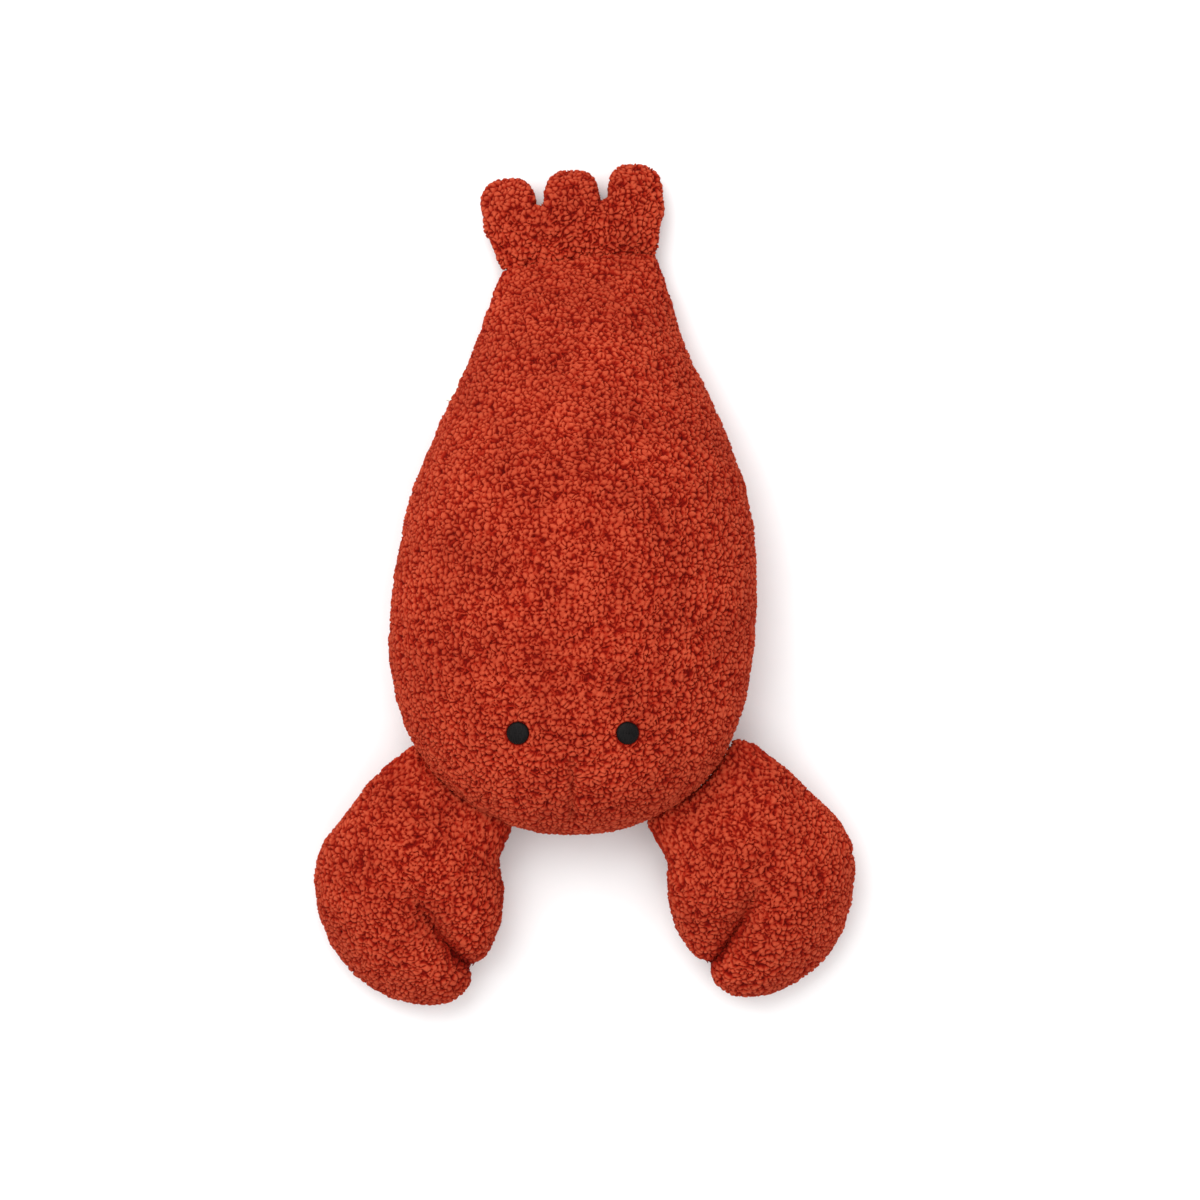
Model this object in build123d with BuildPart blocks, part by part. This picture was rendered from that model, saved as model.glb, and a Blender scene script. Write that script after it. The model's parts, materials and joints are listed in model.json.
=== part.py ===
"""A soft toy lobster in curly teddy cloth, lying on its belly with its head towards -Y.

Four stuffed bags are sewn together: a pear-shaped body, two claws and a three-lobed tail fan. Each bag is
a top and a bottom panel of cloth round a wad of stuffing, with the panels' seam allowances turned inside
and stitched together. The claws and the fan fold about the seams that join them to the body. Left and right
are the toy's own sides, so its left claw is at +X.

Millimetres, +Z up. The origin is on the table, under the middle of the toy's bounding box.
"""

import os
from collections import namedtuple
from math import cos, pi, radians, sin

from build123d import *

# ---- Cloth and seams ----
CLOTH = 3.0  # backing and curly pile
PLY = 1.6  # one ply of seam allowance, where the pile is pressed flat
ALLOWANCE = 7.0  # how far a seam allowance reaches in from the cloth's inner face
ROOM = 0.6  # left between the stuffing and what lies in it
STITCH_PITCH = 9.0
STITCH_LENGTH = 7.6
THREAD = 0.5  # thickness of the sewing thread
HINGE_THREAD_RADIUS = 0.45  # the heavier thread of the joining seams
HINGE_GAP = 2.0  # from a joining seam to the body's side of it

# ---- Body ----
SEAM_HEIGHT = 42.0  # of the body's seam over the table, from the head to the widest place
TAIL_HEIGHT = 16.0  # of the same seam at the tail
SEAM_FALLS_FROM = 20.0  # the seam runs level up to this Y
TAIL_Y = 169.0
TAIL_X = -3.0
TAIL_TURN = 6.4  # degrees that the tail seam is turned, seen from above

# ---- Face ----
FACE_X = -5.4
EYE_SPACING = 54.8
EYE_Y = -74.8
EYE_RADIUS = 5.6
EYE_RISE = 1.0  # how far the embroidery stands over the cloth
BACKING_RADIUS = 8.0
BACKING = 0.5
DART_FROM, DART_TO = -121.0, -93.0
DART_DEPTH = 5.0
DART_THREAD_FROM, DART_THREAD_TO = 4.0, 22.0  # left without stitches at the ends of the dart's line

# ---- Claws ----
CLAW_HINGE = (62.4, -105.2)
CLAW_HEADING = -47.7  # degrees, from +X, that the left claw leaves the body
CLAW_DROOP = 15.0
CLAW_ROOT_HALF = 30.0
SLIT_MOUTH = 0.8
SLIT_WALL = 3.0  # cloth beside the slit
SLIT_RUN_OUT = 12.0  # how far the slit's cutter goes on past the mouth
RIGHT_CLAW_SHIFT = (-5.2, -2.0, 0.0)  # from the left claw's mirror image
RIGHT_CLAW_TURN = 7.5  # degrees, towards the snout, about its joining seam

# ---- Tail fan ----
FAN_DROOP = 8.0
LOBE_PITCH = 33.0
LOBE_RADIUS = 13.4
FAN_LENGTH = 45.0
FAN_ROOT_HALF = 41.0
NOTCH_DEPTH = 20.0

# ---- Label and hand stitches ----
LABEL_WIDTH, LABEL_DROP, LABEL_THICKNESS = 18.0, 24.0, 0.7
LABEL_Y = 100.0
LABEL_TILT = 8.0  # degrees, inwards under the body
OPENING_FROM, OPENING_TO = 12.0, 76.0  # the hand-closed stretch of the body's seam

THINNEST = 1.0  # half height of the thinnest section of a bag's inside
FAR = 400.0  # larger than the toy
SEAM_STEPS = 16  # spans of the curve that the body's seam surface follows

Station = namedtuple("Station", "out across half_width half_height turn")
os.makedirs("parts", exist_ok=True)


def seam_height(y):
    """Height of the body's seam over the table. It falls gently to the tail."""
    if y <= SEAM_FALLS_FROM:
        return SEAM_HEIGHT
    share = min(1.0, (y - SEAM_FALLS_FROM) / (TAIL_Y - SEAM_FALLS_FROM))
    return TAIL_HEIGHT + (SEAM_HEIGHT - TAIL_HEIGHT) * (1 + cos(pi * share)) / 2


def level(_):
    """A claw's or the fan's seam lies in its own base plane."""
    return 0.0


def inset(stations, depth):
    """The same bag, smaller by about depth all round, or larger where depth is negative. Sections that would
    be left too thin are dropped."""
    middle = (stations[0].out + stations[-1].out) / 2
    along = 1 - depth / abs(stations[-1].out - middle)
    return [
        Station(
            middle + (s.out - middle) * along,
            s.across,
            s.half_width - depth,
            s.half_height - depth,
            s.turn,
        )
        for s in stations
        if s.half_height - depth >= THINNEST
    ]


def bag(base, stations, lift=level):
    """The closed form of a stuffed bag, lofted through an ellipse at each station along base's Y."""
    with BuildPart() as form:
        for s in stations:
            angle = radians(s.turn)
            centre = base.from_local_coords(Vector(s.across, s.out, lift(s.out)))
            side = base.x_dir * cos(angle) + base.y_dir * sin(angle)
            back = base.x_dir * sin(angle) - base.y_dir * cos(angle)
            with BuildSketch(Plane(centre, x_dir=side, z_dir=back)):
                with BuildLine():
                    # The arc closes underneath, so the surface's own edge is clear of the cloth's seams.
                    EllipticalCenterArc((0, 0), s.half_width, s.half_height, start_angle=-90, arc_size=360)
                make_face()
        loft()
    return form.part


def beside_seam(base, stations, lift, rise, way):
    """Everything on one side of the bag's seam surface, raised by rise: above it for way 1, below for -1."""
    first, last = stations[0].out - FAR / 4, stations[-1].out + FAR / 4
    path = [first + (last - first) * i / SEAM_STEPS for i in range(SEAM_STEPS + 1)]
    with BuildPart() as block:
        with BuildSketch(Plane(base.origin, x_dir=base.y_dir, z_dir=base.x_dir)):
            with BuildLine():
                if lift is level:
                    Line((first, rise), (last, rise))
                else:
                    Spline(*[(out, lift(out) + rise) for out in path])
                Polyline(
                    (last, lift(last) + rise),
                    (last, way * FAR),
                    (first, way * FAR),
                    (first, lift(first) + rise),
                )
            make_face()
        extrude(amount=FAR / 2, both=True)
    return block.part


def cut_prism(base, points):
    """A prism through the whole bag, over points in base's plane."""
    with BuildPart() as prism:
        with BuildSketch(base):
            with BuildLine():
                Polyline(*points, close=True)
            make_face()
        extrude(amount=FAR / 4, both=True)
    return prism.part


with BuildPart() as table:
    with BuildSketch(Plane.XY):
        Rectangle(2 * FAR, 2 * FAR)
    extrude(amount=-FAR)

with BuildPart() as raised_table:
    with BuildSketch(Plane.XY.offset(CLOTH)):
        Rectangle(2 * FAR, 2 * FAR)
    extrude(amount=-FAR)


def sewn_bag(base, stations, lift=level, slit=None, outline=None):
    """Top panel, bottom panel and stuffing of one bag.

    slit is a (narrow, wide) pair of prisms: the narrow one parts the cloth, and the wide one keeps the
    cloth's thickness and the stuffing clear of it. outline is a function that gives the prism that the bag
    is trimmed to, a given depth in from its edge.
    """
    outer = bag(base, stations, lift)
    inner = bag(base, inset(stations, CLOTH), lift)
    core = outline(CLOTH + ALLOWANCE) if outline else bag(base, inset(stations, CLOTH + ALLOWANCE), lift)
    above, below = (beside_seam(base, stations, lift, 0.0, way) for way in (1, -1))
    over_ply, under_ply = (beside_seam(base, stations, lift, way * PLY, way) for way in (1, -1))
    clear = PLY + THREAD + ROOM
    over_room, under_room = (beside_seam(base, stations, lift, way * clear, way) for way in (1, -1))

    with BuildPart() as cavity:
        add(inner)
        add(raised_table.part, mode=Mode.SUBTRACT)
        if slit:
            add(slit[1], mode=Mode.SUBTRACT)
        if outline:
            add(outline(CLOTH), mode=Mode.INTERSECT)

    with BuildPart() as allowance:
        add(cavity.part)
        add(core, mode=Mode.SUBTRACT)

    with BuildPart() as top_ply:
        add(allowance.part)
        add(below, mode=Mode.SUBTRACT)
        add(over_ply, mode=Mode.SUBTRACT)

    with BuildPart() as bottom_ply:
        add(allowance.part)
        add(above, mode=Mode.SUBTRACT)
        add(under_ply, mode=Mode.SUBTRACT)

    with BuildPart() as cloth:
        add(outer)
        add(table.part, mode=Mode.SUBTRACT)
        if slit:
            add(slit[0], mode=Mode.SUBTRACT)
        if outline:
            add(outline(0.0), mode=Mode.INTERSECT)
        add(cavity.part, mode=Mode.SUBTRACT)

    with BuildPart() as top:
        add(cloth.part)
        add(below, mode=Mode.SUBTRACT)
        add(top_ply.part)

    with BuildPart() as bottom:
        add(cloth.part)
        add(above, mode=Mode.SUBTRACT)
        add(bottom_ply.part)

    with BuildPart() as seam_room:
        add(allowance.part)
        add(over_room, mode=Mode.SUBTRACT)
        add(under_room, mode=Mode.SUBTRACT)

    with BuildPart() as stuffing:
        add(cavity.part)
        add(seam_room.part, mode=Mode.SUBTRACT)

    return top.part, bottom.part, stuffing.part


def lock_stitch():
    """One lock stitch through two plies: needle thread over them, bobbin thread under, and the loop between.
    It is long in X, and Z goes through the plies."""
    half, reach = STITCH_LENGTH / 2, PLY + THREAD
    with BuildPart() as stitch:
        with BuildSketch(Plane.XZ):
            Rectangle(THREAD, 2 * reach)
            with Locations((0, reach - THREAD / 2), (0, -reach + THREAD / 2)):
                Rectangle(2 * half, THREAD)
        extrude(amount=THREAD / 2, both=True)
    return stitch.part


def along(edge, pitch, start=0.0, end=0.0):
    """Positions and directions at about this pitch along an edge, leaving out its start and end lengths."""
    usable = edge.length - start - end
    count = max(2, round(usable / pitch))
    found = []
    for i in range(count):
        distance = start + usable * (i + 0.5) / count
        found.append(
            (
                edge.position_at(distance, position_mode=PositionMode.LENGTH),
                edge.tangent_at(distance, position_mode=PositionMode.LENGTH),
            )
        )
    return found


def stitch_places(edge, up, start=0.0, end=0.0):
    """A place for each lock stitch along an edge, with up through the plies."""
    return [
        Plane(at, x_dir=way, z_dir=up - way * up.dot(way)).location
        for at, way in along(edge, STITCH_PITCH, start, end)
    ]


def seam_line(base, stations, depth, lift=level):
    """A bag's seam as one line, from its root down one side, round its tip and back up the other side.
    It lies depth in from the outline. The tip is the last station."""
    sides = {-1: [], 1: []}
    for s in stations[:-1]:
        angle = radians(s.turn)
        for side, points in sides.items():
            reach = side * (s.half_width - depth)
            points.append((s.across + reach * cos(angle), s.out + reach * sin(angle)))
    tip = stations[-1]
    inward = depth if tip.out < stations[0].out else -depth
    route = [*sides[-1], (tip.across, tip.out + inward), *reversed(sides[1])]
    with BuildLine() as line:
        Spline(*[base.from_local_coords(Vector(across, out, lift(out))) for across, out in route])
    return line.edge()


def write(piece, label):
    """Names a finished piece and writes it as its own node."""
    piece.label = label
    export_step(piece, f"parts/{label}.step")


# ---- Body: a pear, widest behind the face, flattened where it rests on the table ----
BODY = [
    Station(-127.6, FACE_X, 7.0, 3.5, 0.0),
    Station(-125.0, FACE_X, 24.0, 13.0, 0.0),
    Station(-118.0, FACE_X, 42.0, 25.0, 0.0),
    Station(-100.0, FACE_X, 67.0, 38.0, 0.0),
    Station(-72.0, -6.4, 84.6, 45.0, 0.0),
    Station(-28.0, -6.2, 93.0, 48.0, 0.0),
    Station(20.0, -3.2, 90.3, 48.0, 0.0),
    Station(45.0, -2.6, 85.6, 46.0, 0.5),
    Station(70.0, -2.4, 76.6, 42.5, 1.3),
    Station(95.0, -2.8, 66.4, 37.2, 2.3),
    Station(120.0, -3.4, 55.0, 31.0, 3.7),
    Station(143.0, -3.2, 48.3, 21.5, 5.1),
    Station(158.0, -2.8, 43.5, 10.5, 6.0),
    Station(TAIL_Y - HINGE_GAP, TAIL_X, FAN_ROOT_HALF, 2.6, TAIL_TURN),
]
body_base = Plane.XY
body_top, body_bottom, body_filling = sewn_bag(body_base, BODY, seam_height)
body_outer = bag(body_base, BODY, seam_height)
body_inner = bag(body_base, inset(BODY, CLOTH), seam_height)


# The snout's dart: the top panel is folded in along the middle of the face and stitched across the fold.
dart_middle = (DART_FROM + DART_TO) / 2
with BuildPart() as dart_fold:
    add(body_inner)
    add(bag(body_base, inset(BODY, CLOTH + DART_DEPTH), seam_height), mode=Mode.SUBTRACT)
    with BuildSketch(Plane.XY.offset(SEAM_HEIGHT + PLY + THREAD + ROOM)):
        with Locations((FACE_X, dart_middle)):
            Rectangle(2 * PLY, DART_TO - DART_FROM)
    extrude(amount=SEAM_HEIGHT, mode=Mode.INTERSECT)

with BuildPart() as dart_room:
    add(bag(body_base, inset(BODY, CLOTH - ROOM), seam_height))
    add(bag(body_base, inset(BODY, CLOTH + DART_DEPTH + ROOM), seam_height), mode=Mode.SUBTRACT)
    with BuildSketch(Plane.XY.offset(SEAM_HEIGHT)):
        with Locations((FACE_X, dart_middle)):
            Rectangle(2 * (PLY + THREAD + ROOM), DART_TO - DART_FROM + 2 * ROOM)
    extrude(amount=SEAM_HEIGHT, mode=Mode.INTERSECT)

dart_ridge = [
    Vector(FACE_X, s.out, seam_height(s.out) + s.half_height - CLOTH - DART_DEPTH / 2) for s in BODY[2:5]
]
with BuildLine() as dart_line:
    Spline(*dart_ridge)

# Embroidered eyes, each backed by a disc of stiff felt inside the cloth.
with BuildPart() as eye_layer:
    add(bag(body_base, inset(BODY, -EYE_RISE), seam_height))
    add(body_outer, mode=Mode.SUBTRACT)

with BuildPart() as backing_layer:
    add(body_inner)
    add(bag(body_base, inset(BODY, CLOTH + BACKING), seam_height), mode=Mode.SUBTRACT)


def face_disc(layer, side, radius):
    """What a vertical punch cuts from a layer of the face."""
    with BuildPart() as disc:
        add(layer)
        with BuildSketch(Plane.XY.offset(SEAM_HEIGHT)):
            with Locations((FACE_X + side * EYE_SPACING / 2, EYE_Y)):
                Circle(radius)
        extrude(amount=2 * SEAM_HEIGHT, mode=Mode.INTERSECT)
    return disc.part


left_eye, right_eye = (face_disc(eye_layer.part, side, EYE_RADIUS) for side in (1, -1))
left_backing, right_backing = (face_disc(backing_layer.part, side, BACKING_RADIUS) for side in (1, -1))

with BuildPart() as body_top_panel:
    add(body_top)
    add(dart_fold.part)

with BuildPart() as body_stuffing:
    add(body_filling)
    add(dart_room.part, mode=Mode.SUBTRACT)
    add(left_backing, mode=Mode.SUBTRACT)
    add(right_backing, mode=Mode.SUBTRACT)

write(body_top_panel.part, "body_top_panel")
write(body_bottom, "body_bottom_panel")
write(body_stuffing.part, "body_stuffing")
write(left_eye, "left_eye")
write(right_eye, "right_eye")
write(left_backing, "left_eye_backing")
write(right_backing, "right_eye_backing")

# ---- The body's threads ----
UP = Vector(0, 0, 1)
stitch_depth = CLOTH + 2 * THREAD
stitch = lock_stitch()
from_tail = BODY[:0:-1]


def closed_by_hand(at):
    """True on the stretch of the body's right side where the toy was stuffed and then closed."""
    return at.X < 0 and OPENING_FROM <= at.Y <= OPENING_TO


body_seam = seam_line(body_base, from_tail, stitch_depth, seam_height)
body_stitches = stitch_places(body_seam, UP, start=2 * STITCH_PITCH, end=2 * STITCH_PITCH)
with BuildPart() as body_seam_thread:
    with Locations(*[place for place in body_stitches if not closed_by_hand(place.position)]):
        add(stitch)
write(body_seam_thread.part, "body_seam_thread")

dart_stitches = stitch_places(
    dart_line.edge(), Vector(1, 0, 0), start=DART_THREAD_FROM, end=DART_THREAD_TO
)
with BuildPart() as snout_dart_thread:
    with Locations(*dart_stitches):
        add(stitch)
write(snout_dart_thread.part, "snout_dart_thread")

# Ladder stitches on the outside of the seam, across the line where the toy was closed by hand.
body_outline = seam_line(body_base, from_tail, 0.0, seam_height)
rungs = [Location(at) for at, _ in along(body_outline, STITCH_PITCH) if closed_by_hand(at)]
with BuildPart() as closing_stitches:
    with Locations(*rungs):
        Cylinder(HINGE_THREAD_RADIUS, 2 * CLOTH)
write(closing_stitches.part, "closing_stitches")

# A blank woven label, caught in the seam and hanging down the side, under the bulge of the body.
right_side = [(at, way) for at, way in along(body_outline, LABEL_WIDTH / 4) if at.X < 0]
label_at, label_way = min(right_side, key=lambda point: abs(point[0].Y - LABEL_Y))
label_way = Vector(label_way.X, label_way.Y, 0).normalized()
outside = label_way.cross(UP)
label_normal = outside * cos(radians(LABEL_TILT)) - UP * sin(radians(LABEL_TILT))
with BuildPart() as care_label:
    with BuildSketch(Plane(label_at, x_dir=label_way, z_dir=label_normal)):
        with Locations((0, -LABEL_DROP / 2)):
            Rectangle(LABEL_WIDTH, LABEL_DROP)
    extrude(amount=LABEL_THICKNESS / 2, both=True)
write(care_label.part, "care_label")

# ---- Left claw: a mitten that droops from its joining seam to the table. The right one is its mirror ----
heading = radians(CLAW_HEADING)
droop = radians(CLAW_DROOP)
outward = Vector(cos(heading), sin(heading), 0)
claw_axis = Vector(outward.Y, -outward.X, 0)  # along the joining seam; a turn about it raises the claw
claw_base = Plane(
    (*CLAW_HINGE, SEAM_HEIGHT),
    x_dir=claw_axis,
    z_dir=Vector(outward.X * sin(droop), outward.Y * sin(droop), cos(droop)),
)


def on_claw(x, y):
    """A place seen from above, as (across, out) in the drooping claw's base plane."""
    place = Vector(x - CLAW_HINGE[0], y - CLAW_HINGE[1], 0)
    return place.dot(claw_axis), place.dot(outward) / cos(droop)


CLAW = [
    Station(0.9, 0.0, CLAW_ROOT_HALF, 1.5, 0.0),
    Station(9.0, 1.0, 35.5, 9.0, 0.0),
    Station(25.0, 4.8, 43.0, 20.0, 0.0),
    Station(50.0, 10.5, 50.0, 26.0, 0.0),
    Station(72.0, 13.5, 50.0, 26.5, 0.0),
    Station(88.0, 18.5, 44.0, 22.0, 0.0),
    Station(99.0, 20.5, 33.5, 15.0, 0.0),
    Station(107.0, 21.0, 19.0, 7.5, 0.0),
    Station(110.0, 21.0, 7.0, 2.5, 0.0),
]
# The slit that parts finger from thumb, seen from above, from its mouth at the inner edge to its blind end.
SLIT = [(62.0, -199.0), (71.0, -190.5), (78.5, -175.0), (86.0, -160.0)]


def slit_prism(width):
    """A slot along the slit's line, with its wall that width to either side of it."""
    outer_side = [on_claw(x + width, y) for x, y in SLIT[:-1]]
    inner_side = [on_claw(x - width, y) for x, y in SLIT[:-1]]
    end_x, end_y = SLIT[-1]
    mouth_x, mouth_y = SLIT[0]
    lip = on_claw(mouth_x - 3 * width - SLIT_RUN_OUT, mouth_y - SLIT_RUN_OUT)
    return cut_prism(claw_base, [lip, *outer_side, on_claw(end_x, end_y + width), *reversed(inner_side)])


claw_slit = (slit_prism(SLIT_MOUTH / 2), slit_prism(SLIT_MOUTH / 2 + SLIT_WALL))
left_top, left_bottom, left_filling = sewn_bag(claw_base, CLAW, slit=claw_slit)


claw_seam = seam_line(claw_base, CLAW, stitch_depth)
with BuildPart() as left_claw_thread:
    with Locations(*stitch_places(claw_seam, claw_base.z_dir, start=3 * STITCH_PITCH, end=3 * STITCH_PITCH)):
        add(stitch)
    add(claw_slit[1], mode=Mode.SUBTRACT)


def hinge_thread(middle, way, half_length):
    """The stitches of a joining seam, in line along the fold that they make."""
    count = round(2 * half_length / STITCH_PITCH)
    places = [
        Plane(middle + way * ((i + 0.5) * 2 * half_length / count - half_length), z_dir=way).location
        for i in range(count)
    ]
    with BuildPart() as thread:
        with Locations(*places):
            Cylinder(HINGE_THREAD_RADIUS, STITCH_LENGTH)
    return thread.part


left_hinge = hinge_thread(claw_base.origin, claw_axis, CLAW_ROOT_HALF)

left_claw = {
    "claw_top_panel": left_top,
    "claw_bottom_panel": left_bottom,
    "claw_stuffing": left_filling,
    "claw_seam_thread": left_claw_thread.part,
    "claw_joining_thread": left_hinge,
}
right_hinge = Axis((-CLAW_HINGE[0], CLAW_HINGE[1], SEAM_HEIGHT), (0, 0, 1))
for label, piece in left_claw.items():
    mirrored = mirror(piece, about=Plane.YZ, mode=Mode.PRIVATE).rotate(right_hinge, RIGHT_CLAW_TURN)
    with BuildPart() as right_piece:
        add(mirrored.moved(Location(RIGHT_CLAW_SHIFT)))
    write(piece, f"left_{label}")
    write(right_piece.part, f"right_{label}")

# ---- Tail fan: three lobes on a wide root ----
turn = radians(TAIL_TURN)
fan_droop = radians(FAN_DROOP)
fan_way = Vector(-sin(turn), cos(turn), 0)
fan_base = Plane(
    (TAIL_X, TAIL_Y, TAIL_HEIGHT),
    x_dir=Vector(cos(turn), sin(turn), 0),
    z_dir=Vector(fan_way.X * sin(fan_droop), fan_way.Y * sin(fan_droop), cos(fan_droop)),
)
FAN = [
    Station(0.9, 0.0, FAN_ROOT_HALF, 1.5, 0.0),
    Station(9.0, 0.0, 44.5, 10.0, 0.0),
    Station(21.0, 0.0, 48.5, 14.5, 0.0),
    Station(34.0, 0.0, 50.5, 13.0, 0.0),
    Station(42.0, 0.0, 51.0, 7.5, 0.0),
    Station(FAN_LENGTH + 0.6, 0.0, 51.0, 2.0, 0.0),
]


def fan_outline(depth):
    """The fan's plan, depth in from its edge, as a prism: a flared root and three round-ended lobes."""
    radius = LOBE_RADIUS - depth
    crown = FAN_LENGTH - LOBE_RADIUS
    with BuildPart() as plan:
        with BuildSketch(fan_base):
            with BuildLine():
                Polyline(
                    (depth - FAN_ROOT_HALF, 0),
                    (FAN_ROOT_HALF - depth, 0),
                    (LOBE_PITCH + radius, FAN_LENGTH - NOTCH_DEPTH),
                    (-LOBE_PITCH - radius, FAN_LENGTH - NOTCH_DEPTH),
                    close=True,
                )
            make_face()
            for lobe in (-1, 0, 1):
                with Locations((lobe * LOBE_PITCH, crown)):
                    Circle(radius)
                with Locations((lobe * LOBE_PITCH, crown * 3 / 4)):
                    Rectangle(2 * radius, crown / 2)
        extrude(amount=FAR / 8, both=True)
    return plan.part


fan_top, fan_bottom, fan_filling = sewn_bag(fan_base, FAN, outline=fan_outline)
write(fan_top, "tail_fan_top_panel")
write(fan_bottom, "tail_fan_bottom_panel")
write(fan_filling, "tail_fan_stuffing")

lobe_seam = LOBE_RADIUS - stitch_depth
with BuildLine(fan_base) as lobe_arcs:
    for lobe in (-1, 0, 1):
        CenterArc((lobe * LOBE_PITCH, FAN_LENGTH - LOBE_RADIUS), lobe_seam, 0, 180)
with BuildPart() as tail_fan_seam_thread:
    for arc in lobe_arcs.edges():
        with Locations(*stitch_places(arc, fan_base.z_dir)):
            add(stitch)
write(tail_fan_seam_thread.part, "tail_fan_seam_thread")
write(hinge_thread(fan_base.origin, fan_base.x_dir, FAN_ROOT_HALF), "tail_fan_joining_thread")
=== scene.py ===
"""Looks of the plush lobster: four stuffed bags in curly teddy cloth, embroidered eyes, and what they hold.

Metres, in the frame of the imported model. Each bag is taken from its CAD panels, filled like a cushion by a
cloth simulation, and given its pile as real geometry: small round tufts, with thin strands over them.
"""

import json
from math import cos, pi, sin

import bmesh
import bpy
import numpy as np
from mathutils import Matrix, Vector
from mathutils.bvhtree import BVHTree


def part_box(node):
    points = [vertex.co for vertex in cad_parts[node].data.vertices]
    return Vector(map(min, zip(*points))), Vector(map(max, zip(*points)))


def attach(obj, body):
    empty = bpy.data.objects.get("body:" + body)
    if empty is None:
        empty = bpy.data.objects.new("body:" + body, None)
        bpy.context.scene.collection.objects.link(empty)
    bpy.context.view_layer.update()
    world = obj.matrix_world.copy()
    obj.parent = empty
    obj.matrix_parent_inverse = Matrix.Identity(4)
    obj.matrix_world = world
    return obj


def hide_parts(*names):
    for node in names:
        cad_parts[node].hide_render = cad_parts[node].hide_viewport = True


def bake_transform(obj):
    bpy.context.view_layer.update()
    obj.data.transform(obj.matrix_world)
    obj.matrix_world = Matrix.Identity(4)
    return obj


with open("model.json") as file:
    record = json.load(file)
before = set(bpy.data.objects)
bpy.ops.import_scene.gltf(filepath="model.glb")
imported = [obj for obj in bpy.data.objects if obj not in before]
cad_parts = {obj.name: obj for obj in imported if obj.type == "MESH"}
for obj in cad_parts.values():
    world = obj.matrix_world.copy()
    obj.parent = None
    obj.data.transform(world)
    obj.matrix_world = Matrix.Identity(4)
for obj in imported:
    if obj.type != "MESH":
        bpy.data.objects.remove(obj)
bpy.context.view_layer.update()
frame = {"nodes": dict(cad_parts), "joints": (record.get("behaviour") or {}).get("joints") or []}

MM = 0.001
NODES = frame["nodes"]
JOINTS = {joint["child"]: joint for joint in frame["joints"]}

# ---- The pile ----
CURL_CELL = 2.7 * MM  # spacing of the tufts
CURL_SCATTER = 0.42  # how far a tuft's middle strays from its cell's middle, in cells
TUFT_RADIUS = 0.95  # in cells
TUFT_GAP = 0.22  # width of the dark gap between two tufts, in cells
TUFT_BASE = 0.25  # share of a tuft's height that is left in the gap
WARP_CELL = 4.2 * MM
WARP = 1.3 * MM  # how far the tufts are pulled out of round
WARP_SHIFTS = (11.3, 27.9, 43.1)  # where in the noise each direction of the warp is read
PILE_HEIGHT = 2.3 * MM
PILE_MIDDLE = 0.55  # share of the pile that stands under the CAD surface
STRAND_RADIUS = 0.55 * MM
STRAND_CELL = 4.2 * MM  # size of one meander of a strand
STRAND_SHIFT = 17.7  # where in the noise the strands are read
STRAND_SLOPE = 0.35  # the least slope of the noise that a strand is measured by
STRAND_LOW, STRAND_RISE = 0.55, 0.5  # height of a strand over the pile's foot, and how much it varies
STRAND_RISE_CELL, STRAND_RISE_SHIFT = 1.3 * STRAND_CELL, 5.1
PROBE = 0.12  # how far apart the noise is read for its slope, in cells
SKEW = [0.31, 0.64, 0.70]  # a direction that few of the cloth's normals share
FUZZ_CELL = 1.3 * MM
FUZZ = 0.12  # share of the pile's height that its finest roughness adds or takes
CLUMP_CELL = 10.0 * MM
CLUMP_HEIGHT = 0.6 * MM  # how much higher or lower whole patches of the pile stand
CLUMP_SHIFT = 71.0
GRADIENTS = 256
NOISE_GAIN = 1.6  # brings the noise to about -1 to 1
SEED = 7

# ---- The bags: voxel size, and how often the filled bag is then subdivided ----
BAGS = {
    "body": (4.5 * MM, 3),
    "left_claw": (2.4 * MM, 2),
    "right_claw": (2.4 * MM, 2),
    "tail_fan": (1.8 * MM, 2),
}
FILL_LIMIT = 3.0 * MM  # the most that the cloth may move as a bag is filled
FILL_STEPS = 20
HELD_FROM, HELD_TO = 1.5 * MM, 9 * MM  # the cloth is held at its seam, and is free this far from it
RESTS_UNDER = 0.5 * MM  # the cloth under this height lies on the table
ON_TABLE = 0.1 * MM

# ---- The seams ----
SEAM_GROOVE = 1.4 * MM
SEAM_GROOVE_WIDTH = 2.0 * MM
SEAM_PILE_LOSS = 0.35  # share of the pile's height that the seam takes
# share by which the pile's colour is darkened along the seam: painted shade in its groove
SEAM_PAINTED_SHADE = 0.45
SEAM_SLICES = 24
ROOT_REACH = 5.0 * MM  # how far the middle of a claw's or the fan's root goes in under the body's pile
ROOT_END_REACH = 9.0 * MM  # how much farther a claw's root goes in at its ends, where the body curves away
ROOT_FROM, ROOT_LENGTH = -1.0 * MM, 16.0 * MM
CLAW_ROOT_HALF = 30.0 * MM
TAIL_LENGTH = 18.0 * MM  # the stretch of the body that is drawn out to the tail fan
TAIL_REACH = 3.0 * MM
TAIL_WIDEN = 0.05

# ---- The claws' slits ----
# From the slit's mouth to its blind end, as distances along the joining seam and out from it.
SLIT = np.array([(68.0, 67.7), (52.7, 68.0), (35.0, 62.5), (17.3, 55.6)]) * MM
SLIT_WIDTH_MOUTH, SLIT_WIDTH_END = 3.4 * MM, 9.0 * MM
SLIT_DEPTH = 0.95  # share of the claw's height that the slit takes at its mouth
SLIT_RISE = 0.66  # how much less it takes at its end
# the painted shade in the claws' slits: its width, where it fades, and how much it darkens the pile
SLIT_SHADE_WIDTH = 3.0 * MM
SLIT_SHADE_FADES = 0.35  # how far along the slit its painted shade begins to fade
SLIT_PAINTED_SHADE = 0.6
MOUTH_NOTCH = 6.0 * MM  # how far the outline is drawn in at the slit's mouth
NOTCH_WIDTH = 1.6 * SLIT_WIDTH_MOUTH
NOTCH_FADES = 0.3
STUFFING_CLEARANCE = 7 * MM  # the stuffing keeps this far from the slit

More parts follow.
